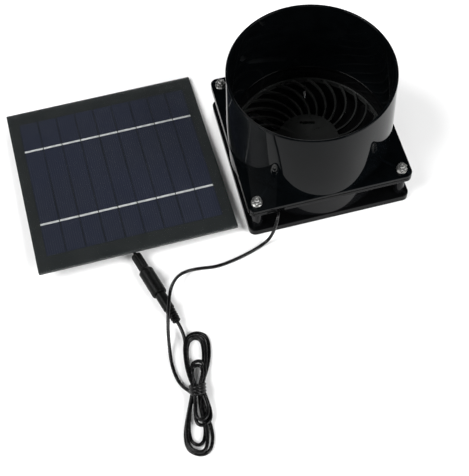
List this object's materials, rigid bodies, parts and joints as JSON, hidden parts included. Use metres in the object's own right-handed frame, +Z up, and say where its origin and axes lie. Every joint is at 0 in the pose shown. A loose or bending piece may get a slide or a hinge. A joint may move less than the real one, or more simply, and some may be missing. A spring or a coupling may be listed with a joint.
{
  "type": "solar attic fan",
  "caption": "Square axial fan with a tall round duct collar and spiral guard, powered by a separate flat solar panel through a long cord and an in-line plug and socket.",
  "frame": {"origin": "On the floor under the middle of the fan and panel together.", "axes": "+Z up, out of the duct collar. +X from the solar panel to the fan, along the fan's flange edge. +Y away from the coiled cord."},
  "size_m": [0.3452, 0.3772, 0.1227],
  "materials": {
    "gloss_black_plastic": "glossy moulded ABS",
    "fan_black_plastic": "semi-gloss moulded plastic",
    "guard_plastic": "satin moulded plastic",
    "impeller_plastic": "satin moulded plastic",
    "zinc_steel": "zinc plated",
    "bearing_bronze": "sintered bronze",
    "hard_steel": "ground",
    "lamination_steel": "stamped, stacked",
    "copper_wire": "enamelled winding wire",
    "coil_former": "moulded nylon",
    "circuit_board": "solder mask",
    "chip_plastic": "moulded",
    "ferrite": "bonded magnet",
    "cord_jacket": "satin PVC",
    "connector_plastic": "satin moulded PVC",
    "connector_nickel": "nickel plated",
    "connector_insulator": "moulded",
    "panel_backing": "fibreglass board",
    "silicon": "dark blue silicon",
    "ribbon_metal": "tinned copper ribbon",
    "panel_clear": "clear laminate",
    "box_plastic": "moulded",
    "tinned_copper": "tinned"
  },
  "bodies": {
    "housing": {"adapter_plate": "gloss_black_plastic", "collar_wall": "gloss_black_plastic", "frame_base": "fan_black_plastic", "frame_top": "fan_black_plastic", "frame_barrel": "fan_black_plastic", "frame_posts": "fan_black_plastic", "spiral_guard": "guard_plastic", "cable_gland": "connector_plastic", "bearing_tube": "guard_plastic", "bearing_cap": "guard_plastic", "sleeve_bearing": "bearing_bronze", "thrust_washer": "connector_insulator", "stator_core": "lamination_steel", "stator_insulator": "coil_former", "stator_coils": "copper_wire", "motor_pcb": "circuit_board", "pcb_components": "chip_plastic", "motor_leads": "cord_jacket", "corner_bolts": "zinc_steel", "corner_washers": "zinc_steel", "corner_nuts": "zinc_steel", "fan_cord": "cord_jacket", "plug_lead": "cord_jacket", "cord_hank": "cord_jacket", "plug_body": "connector_plastic", "plug_barrel": "connector_nickel", "plug_insulator": "connector_insulator", "plug_inner_contact": "connector_nickel"},
    "rotor": {"impeller": "impeller_plastic", "rotor_yoke": "hard_steel", "magnet_ring": "ferrite", "shaft": "hard_steel", "retaining_clip": "coil_former"},
    "panel": {"panel_board": "panel_backing", "cell_strips": "silicon", "bus_ribbons": "ribbon_metal", "panel_laminate": "panel_clear", "junction_box": "box_plastic", "junction_box_lid": "box_plastic", "junction_gland": "connector_plastic", "terminal_tabs": "tinned_copper", "blocking_diode": "chip_plastic", "panel_cord": "cord_jacket", "socket_body": "connector_plastic", "socket_contact": "connector_nickel", "socket_pin": "connector_nickel"}
  },
  "joints": [
    {"name": "rotor_spin", "type": "hinge", "parent": "housing", "child": "rotor", "pos_m": [0.0975, -0.0195, 0], "axis": [0, 0, 1], "continuous": true},
    {"name": "unplug", "type": "slide", "parent": "housing", "child": "panel", "axis": [-0.284, 0.9588, 0], "range_m": [0, 0.012]}
  ]
}
